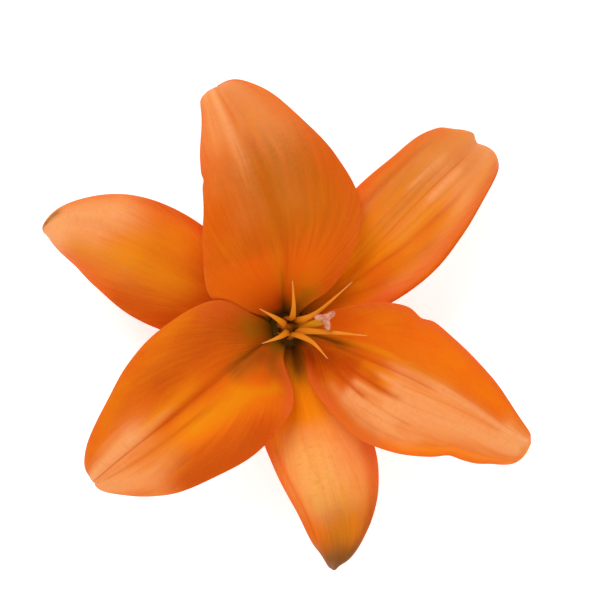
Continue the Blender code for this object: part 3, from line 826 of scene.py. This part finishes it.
def tepalPaint(name, colours):
    marks = tepalMarks
    paint = Paint(name, tepalTissue)
    _, along, across, margin = paint.field("place")
    run, _, _, under = paint.field("run")
    fan, _, fanAcross, _ = paint.field("fan")
    washes = {}
    for label, names in washLayers.items():
        washes.update(zip(names, paint.field(label)[1:]))
    # peach and cream carry paler tissue together with painted sheen and painted highlights
    peach, cream = washes["peach"], washes["cream"]
    cloud, grain, cross, mottle = [paint.noise(run, *look) for look in tissueGrain.values()]
    streak, hair = [paint.noise(fan, *look) for look in fanGrain.values()]
    side = abs(across)
    veins = (1 - abs((fanAcross * marks["veins"] + cloud * marks["veinWander"]).sine())).ease(0.6, 1.0)
    veins = veins * streak.ease(0.35, 0.65) * along.ease(0.06, 0.20) * (1 - along.ease(0.55, 0.85))
    veins = veins * (1 - side.ease(0.7, 0.95))
    threads = streak.ease(0.50, 0.75) * marks["streakStrength"]
    threads = threads + hair.ease(0.48, 0.75) * marks["hairStrength"]
    lines = veins * marks["veinStrength"] + threads * along.ease(0.08, 0.25)

    def layWashes(colour, *names):
        for tint in names:
            wash = washes[tint]
            frayed = (wash + (streak - 0.5) * wash * (1 - wash) * feathering[tint]).clamp()
            colour = paint.mix(frayed, colour, colours[tint])
        return colour

    colour = paint.mix(cloud.ease(0.4, 0.7) * marks["goldClouds"], colours["body"], colours["gold"])
    colour = layWashes(colour, "flame", "gold")
    edge = (1 - (margin + (cloud - 0.5) * 2.0).ease(0.0, marks["edgeWidth"])) * along.ease(0.1, 0.25)
    colour = paint.mix(edge * marks["edgeStrength"], colour, colours["coral"])
    # the peach and cream washes lay painted sheen and highlights, the deep and rust washes painted shade,
    # each over tissue colour
    colour = layWashes(colour, "coral", "peach", "cream", "deep", "rust")
    share = marks["fibre"]
    fibre = peach.clamp() * share["peach"] + cream * share["cream"] + share["everywhere"]
    colour = paint.mix((mottle - 0.5) * fibre, colour, colours["gold"])
    colour = paint.mix((0.5 - mottle) * fibre, colour, colours["vein"])
    vein = paint.mix(peach, colours["vein"], colours["paleVein"])
    colour = paint.mix(lines * (1 - side.ease(0.85, 1.0)) * (1 + peach * 1.2), colour, vein)
    colour = paint.mix((cross - 0.42) * peach * marks["crossStrength"], colour, colours["gold"])
    colour = paint.mix((grain - 0.5) * marks["grainStrength"], colour, colours["peach"])
    # the olive and brown washes lay painted shade in the throat and in the gaps, over the tissue's own colour
    colour = layWashes(colour, "olive", "brown")
    back = paint.mix(side.bell(0.0, marks["backRibWidth"]) * 0.8, colours["back"], colours["backRib"])
    back = paint.mix(lines, back, colours["vein"])
    rough, grainRough, streakRough = marks["roughness"]
    rough = rough + grain * grainRough + streak * streakRough
    paint.set(Base_Color=paint.mix(under, colour, back), Roughness=rough)
    heights = {"streak": streak - veins * 0.3, "hair": hair, "cross": cross + grain * 0.6}
    paint.bump([(heights[label], *size) for label, size in marks["bumps"].items()])
    return paint.material


petalMaterial = tepalPaint("petal_tissue", petalColours)
sepalMaterial = tepalPaint("sepal_tissue", sepalColours)
for seed, (name, blade) in enumerate(tepals.items()):
    if blade["onSurface"]:
        makeTepal(name, blade, sepalMaterial, seed)
    else:
        makeTepal(name, blade, petalMaterial, seed)
print("tepals made")


# Filaments: flat awls with a ridge, bare at their tips

filamentShape = {
    "seatHeight": 9.3,
    "cageRadii": (3.05, 2.95, 2.8, 2.15),  # up the cage that the filaments form round the ovary
    "cageTop": 37.5,
    "cageLean": (1.7, 1.0),
    "width": (2.2, 1.9, 1.6, 1.5, 2.1, 1.6, 0.9, 0.16),
    "thickness": (1.0, 0.95, 0.9, 0.9, 0.85, 0.7, 0.5, 0.14),
    "ridge": 0.35,
    "rings": 60,
    "sides": 24,
}
filaments = {  # azimuth on the ring, azimuth in the cage, widest place of the arch, tip
    "filament_top": (101, 97, (2.0, 6.6, 43.5), (1.7, 13.5, 46.5)),
    "filament_upper_right": (44, 48, (8.5, 5.0, 42.5), (17.9, 13.2, 47.5)),
    "filament_right": (-25, -37, (11.9, -0.5, 45), (21.9, -1.4, 46.5)),
    "filament_lower_right": (-79, -82, (7.0, -3.2, 43.8), (11.3, -7.7, 45.5)),
    "filament_lower_left": (217.5, 227, (-2.0, -1.9, 42.8), (-6.7, -3.6, 44.5)),
    "filament_upper_left": (153, 169, (-3.1, 3.5, 43), (-7.3, 5.9, 45.5)),
}
filamentColours = {
    "base": (0.34, 0.150, 0.010),
    "middle": (0.84, 0.270, 0.008),
    "outer": (0.90, 0.270, 0.010),
    "tip": (0.84, 0.400, 0.150),
    # edge: painted shade for the awl's sides
    "edge": (0.72, 0.200, 0.006),
}
filamentTissue = {
    "Specular IOR Level": 0.2,
    "Subsurface Weight": 0.1,
    "Subsurface Scale": 0.001,
    "Subsurface Radius": (1.0, 0.4, 0.1),
}


def sweep(path, sides, halfWidth, halfThickness, headings, ridge):
    along = unit(np.gradient(path, axis=0))
    side = np.stack([-np.sin(headings), np.cos(headings), 0 * headings], -1)
    side = unit(side - along * (side * along).sum(-1, keepdims=True))
    face = np.cross(along, side)
    turn = np.linspace(0, 2 * math.pi, sides, endpoint=False)
    x = np.cos(turn)[None, :] * halfWidth[:, None]
    y = np.sin(turn)[None, :] * halfThickness[:, None]
    ridgeSpread, flankSink = 0.3, 0.4
    y = y * (1 + ridge * (np.exp(-(np.cos(turn) / ridgeSpread) ** 2) - flankSink))[None, :]
    points = path[:, None] + x[..., None] * side[:, None] + y[..., None] * face[:, None]
    rings = len(path)
    ends = [tuple(range(sides))[::-1], tuple((rings - 1) * sides + k for k in range(sides))]
    return points, ringFaces(rings, sides) + ends, turn


def sweepFields(path, turn):
    grainRadius = 1.5  # mm, the same all along so that the grain keeps its size
    length = np.concatenate([[0], np.cumsum(np.linalg.norm(np.diff(path, axis=0), axis=1))])
    place, run = np.zeros((2, len(path), len(turn), 3))
    place[..., 0] = np.linspace(0, 1, len(path))[:, None]
    place[..., 1] = np.cos(turn)[None, :]
    run[..., 0] = length[:, None]
    run[..., 1] = grainRadius * np.cos(turn)[None, :]
    run[..., 2] = grainRadius * np.sin(turn)[None, :]
    return {"place": place, "run": run}


def makeFilament(name, placing, material):
    shape = filamentShape
    ringAzimuth, cageAzimuth, shoulder, tip = placing
    lean = np.array([*shape["cageLean"], 0.0])
    stations = []
    last = len(shape["cageRadii"]) - 1
    for step, radius in enumerate(shape["cageRadii"]):
        azimuth = math.radians(ringAzimuth + (cageAzimuth - ringAzimuth) * step / last)
        height = shape["seatHeight"] + (shape["cageTop"] - shape["seatHeight"]) * step / last
        out = np.array([radius * math.cos(azimuth), radius * math.sin(azimuth), height])
        stations.append(out + lean * (step / last) ** 2)
    reach = np.array(tip) - stations[-1]
    stations += [np.array(shoulder), np.array(tip)]
    tipHeading = math.degrees(math.atan2(reach[1], reach[0]))
    tipHeading += 360 * round((cageAzimuth - tipHeading) / 360)
    u = np.linspace(0, 1, shape["rings"])
    headings = np.radians(through((ringAzimuth, cageAzimuth, cageAzimuth, tipHeading, tipHeading), u))
    path = through(stations, u)
    halfWidth, halfThickness = through(shape["width"], u) / 2, through(shape["thickness"], u) / 2
    points, faces, turn = sweep(path, shape["sides"], halfWidth, halfThickness, headings, shape["ridge"])
    meshPiece(name + "_awl", points, faces, material, sweepFields(path, turn), name)


def filamentPaint():
    colours = filamentColours
    paint = Paint("filament_tissue", filamentTissue)
    _, along, across, _ = paint.field("place")
    grain = paint.noise(paint.field("run")[0], (0.5, 3.0, 3.0), 3.0)
    colour = paint.mix(along.ease(0.45, 0.72), colours["base"], colours["middle"])
    colour = paint.mix(along.ease(0.75, 0.92), colour, colours["outer"])
    colour = paint.mix(along.ease(0.93, 1.0), colour, colours["tip"])
    # darker towards both edges of the awl: painted shade on its sides, with random tone from the grain
    colour = paint.mix(abs(across).ease(0.6, 1.0) * 0.5 + (grain - 0.5) * 0.5, colour, colours["edge"])
    paint.set(Base_Color=colour, Roughness=0.34 + grain * 0.14)
    paint.bump([(grain, 0.4, 0.00012)])
    return paint.material


filamentMaterial = filamentPaint()
for name, placing in filaments.items():
    makeFilament(name, placing, filamentMaterial)
print("filaments made")


# Pistil: ovary and style in one

pistilShape = {
    "path": (
        (0, 0, 9.4), (0, 0, 18), (0.4, 0.2, 25.5), (2.3, 0.9, 31.5), (5.1, 1.4, 36.5), (8.1, 1.9, 41.2),
        (10.2, 3.0, 46),
    ),
    "radius": (1.7, 1.85, 1.3, 0.8, 0.92, 1.05, 1.12),
    "furrow": 0.12,  # depth of the ovary's six furrows, as a share of its radius
    "ovaryEnd": (0.30, 0.5),  # where the furrows fade out
    "rings": 90,
    "sides": 36,
}
pistilColours = {
    "ovary": (0.46, 0.21, 0.012),
    "lowStyle": (0.46, 0.20, 0.012),
    "style": (0.78, 0.36, 0.012),
    "fleck": (0.42, 0.16, 0.01),
}
pistilTissue = {
    "Specular IOR Level": 0.25,
    "Subsurface Weight": 0.1,
    "Subsurface Scale": 0.001,
}


def makePistil(material):
    shape = pistilShape
    u = np.linspace(0, 1, shape["rings"])
    path, radius = through(shape["path"], u), through(shape["radius"], u)
    points, faces, turn = sweep(path, shape["sides"], radius, radius, np.zeros(len(u)), 0.0)
    depth = shape["furrow"] * (1 - ease(u, *shape["ovaryEnd"]))
    furrow = 1 - depth[:, None] * np.abs(np.cos(3 * turn))[None, :] ** 4
    points = path[:, None] + (points - path[:, None]) * furrow[..., None]
    meshPiece("pistil_body", points, faces, material, sweepFields(path, turn), "pistil")


def pistilPaint():
    colours = pistilColours
    paint = Paint("pistil_tissue", pistilTissue)
    along = paint.field("place")[1]
    grain = paint.noise(paint.field("run")[0], (0.5, 2.0, 2.0), 3.0)
    colour = paint.mix(along.ease(0.35, 0.55), colours["ovary"], colours["lowStyle"])
    colour = paint.mix(along.ease(0.52, 0.72), colour, colours["style"])
    colour = paint.mix(grain.ease(0.5, 0.8) * 0.35, colour, colours["fleck"])
    paint.set(Base_Color=colour, Roughness=0.30 + grain * 0.12)
    paint.bump([(grain, 0.4, 0.00012)])
    return paint.material


# Stigma: three lobes with a dip in the middle, on the end of the style

stigmaShape = {
    "lobes": (175, 34, -80),  # degrees
    "lobeSpread": 25,
    "radius": 3.35,
    "waist": 1.2,
    "halfHeight": 1.1,
    "standOff": 0.3,  # mm past the style's end
    "squareness": 0.8,  # 1 is round in section, less is squarer
    "heights": (0.8, 0.25),  # shares of halfHeight in the middle, and added on the lobes
    "dip": 0.35,
    "dipRadius": 1.1,
    "segments": 96,
    "rings": 40,
    "grains": 0.16,  # mm
    "grainWaves": ((9.1, 1.3), (8.7, 0.0), (9.9, 0.7)),  # rate and phase along each axis
}
stigmaColours = {
    "dull": (0.62, 0.22, 0.12),
    "rose": (0.84, 0.38, 0.24),
    "cell": (0.95, 0.62, 0.46),
}
stigmaTissue = {
    "Roughness": 0.6,
    "Specular IOR Level": 0.15,
    "Subsurface Weight": 0.15,
    "Subsurface Scale": 0.0008,
}


def makeStigma(material):
    shape = stigmaShape
    middleHeight, lobeHeight = shape["heights"]
    path = through(pistilShape["path"], np.array([0.96, 1.0]))
    facing = Vector(path[1] - path[0]).normalized()
    middle = path[1] + np.array(facing) * (shape["halfHeight"] + shape["standOff"])
    turn = np.array(Vector((0, 0, 1)).rotation_difference(facing).to_matrix())
    azimuth = np.linspace(0, 2 * math.pi, shape["segments"], endpoint=False)
    tilt = np.linspace(-math.pi / 2, math.pi / 2, shape["rings"] + 1)[1:-1]
    lobe = np.zeros(len(azimuth))
    for place in shape["lobes"]:
        gap = (np.degrees(azimuth) - place + 180) % 360 - 180
        lobe += np.exp(-(gap / shape["lobeSpread"]) ** 2)
    lobe = np.minimum(lobe, 1)
    reach = shape["waist"] + (shape["radius"] - shape["waist"]) * lobe
    profile = np.cos(tilt)[:, None] ** shape["squareness"]
    x = profile * (reach * np.cos(azimuth))[None, :]
    y = profile * (reach * np.sin(azimuth))[None, :]
    dip = shape["dip"] * np.exp(-(np.hypot(x, y) / shape["dipRadius"]) ** 2) * (np.sin(tilt)[:, None] > 0)
    z = np.sin(tilt)[:, None] * (shape["halfHeight"] * (middleHeight + lobeHeight * lobe))[None, :] - dip
    local = np.stack([x, y, z], -1)
    bumps = 1.0
    for axis, (rate, phase) in enumerate(shape["grainWaves"]):
        bumps = bumps * np.sin(rate * local[..., axis] + phase)
    local = local * (1 + shape["grains"] * bumps[..., None] / 2)
    end = shape["halfHeight"] * middleHeight
    flat = np.concatenate([local.reshape(-1, 3), [[0, 0, -end], [0, 0, end - shape["dip"]]]])
    rows, sides = len(tilt), len(azimuth)
    faces = ringFaces(rows, sides)
    for k in range(sides):
        n = (k + 1) % sides
        faces.append((n, k, rows * sides))
        faces.append(((rows - 1) * sides + k, (rows - 1) * sides + n, rows * sides + 1))
    meshPiece("stigma_lobes", middle + flat @ turn.T, faces, material, {"run": flat}, "stigma")


def stigmaPaint():
    colours = stigmaColours
    paint = Paint("stigma_tissue", stigmaTissue)
    run = paint.field("run")[0]
    cells = paint.add("ShaderNodeTexVoronoi", None, {"Vector": run, "Scale": 2.6})
    colour = paint.mix(paint.noise(run, 0.9, 3.0).ease(0.35, 0.65), colours["dull"], colours["rose"])
    colour = paint.mix(cells.ease(0.28, 0.05) * 0.8, colour, colours["cell"])
    paint.set(Base_Color=colour)
    paint.bump([(1 - cells, 0.7, 0.00025)])
    return paint.material


makePistil(pistilPaint())
makeStigma(stigmaPaint())
print("pistil and stigma made")


# Receptacle with the cut end of the stalk: the CAD solid keeps its shape

receptacleLook = {
    "stalk": (0.10, 0.17, 0.02),
    "paleStalk": (0.20, 0.28, 0.04),
    "top": (0.22, 0.12, 0.010),
    "cut": (0.42, 0.46, 0.22),
    "topStart": (0.0055, 0.0068),  # metres above the surface
    "cutEnd": (0.0009, 0.0012),
}


def receptaclePaint():
    look = receptacleLook
    paint = Paint("receptacle_tissue", {"Specular IOR Level": 0.1})
    spot = paint.add("ShaderNodeTexCoord", out=3)
    grain = paint.noise(spot, 900.0, 3.0)
    ribs = paint.noise(spot, (1400.0, 1400.0, 150.0), 2.0)
    height = paint.split(spot)[2]
    colour = paint.mix(grain, look["stalk"], look["paleStalk"])
    colour = paint.mix(height.ease(*look["topStart"]), colour, look["top"])
    colour = paint.mix(1 - height.ease(*look["cutEnd"]), colour, look["cut"])
    paint.set(Base_Color=colour, Roughness=0.55 + grain * 0.2)
    paint.bump([(ribs, 0.5, 0.0002), (grain, 0.4, 0.0001)])
    return paint.material


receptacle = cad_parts["receptacle"]
receptacle.data.materials.clear()
receptacle.data.materials.append(receptaclePaint())
print("receptacle painted")


# Floor, light and camera

studio = {
    "floorColour": (0.93, 0.93, 0.93),
    "floorGlow": 0.5,
    "floorReach": 8.0,  # metres from the middle to an edge
    "floorDrop": 0.0001,
    "skyStrength": 0.52,
    "keyDirection": (-0.25, 0.58, 0.78),
    "keyStrength": 1.15,
    "keyAngle": 28,  # degrees
    "fillDirection": (0.3, -0.65, 0.7),
    "fillStrength": 0.8,
    "fillAngle": 70,
    "cameraHeight": 0.445,
    "axisOffset": (-0.003718, -0.008294),  # the flower's axis from the middle of the picture
    "viewScale": 0.000286,  # metres to a pixel at the height below
    "scaleHeight": 0.025,
    "imageWidth": 600,
}


def makeFloor():
    mesh = bpy.data.meshes.new("floor")
    reach, level = studio["floorReach"], -studio["floorDrop"]
    corners = [(-reach, -reach, level), (reach, -reach, level), (reach, reach, level), (-reach, reach, level)]
    mesh.from_pydata(corners, [], [(0, 1, 2, 3)])
    floor = addObject("floor", mesh)
    white = {
        "Base Color": studio["floorColour"],
        "Roughness": 0.9,
        "Specular IOR Level": 0.1,
        "Emission Color": (1.0, 1.0, 1.0),
        "Emission Strength": studio["floorGlow"],
    }
    mesh.materials.append(Paint("floor_white", white).material)


def makeLights():
    world = bpy.data.worlds.new("sky")
    bpy.context.scene.world = world
    world.use_nodes = True
    sky = world.node_tree.nodes["Background"]
    sky.inputs[0].default_value = (1, 1, 1, 1)
    sky.inputs[1].default_value = studio["skyStrength"]
    for name in ("key", "fill"):
        light = addObject(name, bpy.data.lights.new(name, "SUN"))
        light.data.energy = studio[name + "Strength"]
        light.data.angle = math.radians(studio[name + "Angle"])
        light.rotation_euler = Vector(studio[name + "Direction"]).to_track_quat("Z", "Y").to_euler()


def makeCamera():
    camera = addObject("camera", bpy.data.cameras.new("camera"))
    offsetX, offsetY = studio["axisOffset"]
    camera.location = (hub.x - offsetX, hub.y - offsetY, studio["cameraHeight"])
    distance = studio["cameraHeight"] - studio["scaleHeight"]
    camera.data.lens = distance / (studio["viewScale"] * studio["imageWidth"]) * camera.data.sensor_width
    camera.data.clip_start = 0.01
    bpy.context.scene.camera = camera


makeFloor()
makeLights()
makeCamera()
bpy.context.scene.view_settings.view_transform = "Standard"
print("studio made")
